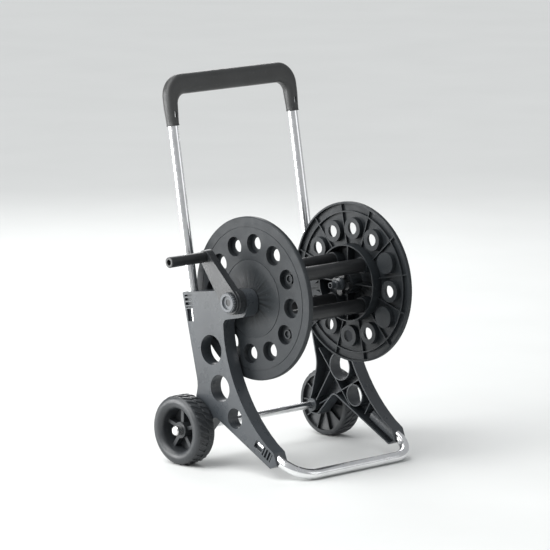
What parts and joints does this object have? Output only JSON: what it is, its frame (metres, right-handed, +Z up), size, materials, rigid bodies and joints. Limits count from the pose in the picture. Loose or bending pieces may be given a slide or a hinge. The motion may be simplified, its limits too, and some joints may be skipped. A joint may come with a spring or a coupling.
{
  "type": "garden hose reel cart",
  "caption": "Wheeled cart that carries a crank-turned drum for garden hose between two side frames, with a tall handle and a foot loop.",
  "frame": {"origin": "middle of the cart's bounding box, on the ground", "axes": "+X across the cart, from the crank side to the water inlet side; +Y towards the side that the handle leans to; +Z up"},
  "size_m": [0.5628, 0.4188, 0.81],
  "materials": {
    "grey_plastic": "satin moulded polypropylene",
    "black_plastic": "fine grained moulded polypropylene",
    "aluminium": "polished, lightly drawn along the tube",
    "steel": "bright zinc plated",
    "seal_rubber": "matt"
  },
  "bodies": {
    "cart": {"side_frame_left": "grey_plastic", "side_frame_right": "grey_plastic", "handle_tube_left": "aluminium", "handle_tube_right": "aluminium", "handle_grip": "black_plastic", "foot_tube": "aluminium", "axle_rod": "aluminium", "axle_cap_left": "steel", "axle_cap_right": "steel", "axle_washer_left": "steel", "axle_washer_right": "steel", "crank_bush": "black_plastic", "spindle_bush": "black_plastic", "inlet_body": "grey_plastic", "inlet_o_rings": "seal_rubber", "inlet_nipple": "grey_plastic", "inlet_seal": "seal_rubber"},
    "reel": {"flange_left": "grey_plastic", "flange_right": "grey_plastic", "drum_tube_upper_front": "black_plastic", "drum_tube_lower_front": "black_plastic", "drum_tube_lower_rear": "black_plastic", "drum_tube_upper_rear": "black_plastic", "crank_shaft": "black_plastic", "shaft_cross_pin": "steel", "crank_arm": "black_plastic", "crank_nut": "black_plastic", "grip_pin": "steel", "water_spindle": "black_plastic", "spindle_circlip": "steel", "wing_nut": "black_plastic", "outlet_nipple": "grey_plastic", "outlet_seal": "seal_rubber"},
    "crank_grip": {"crank_grip": "black_plastic"},
    "wheel_left": {"wheel_left": "grey_plastic"},
    "wheel_right": {"wheel_right": "grey_plastic"}
  },
  "joints": [
    {"name": "reel_turn", "type": "hinge", "parent": "cart", "child": "reel", "pos_m": [0.0304, -0.03845, 0.361], "axis": [1, 0, 0], "continuous": true},
    {"name": "crank_grip_spin", "type": "hinge", "parent": "reel", "child": "crank_grip", "pos_m": [-0.2314, 0.0385, 0.44646], "axis": [1, 0, 0], "continuous": true},
    {"name": "wheel_left_roll", "type": "hinge", "parent": "cart", "child": "wheel_left", "pos_m": [-0.1846, 0.10055, 0.0735], "axis": [1, 0, 0], "continuous": true},
    {"name": "wheel_right_roll", "type": "hinge", "parent": "cart", "child": "wheel_right", "pos_m": [0.2454, 0.10055, 0.0735], "axis": [1, 0, 0], "continuous": true}
  ]
}
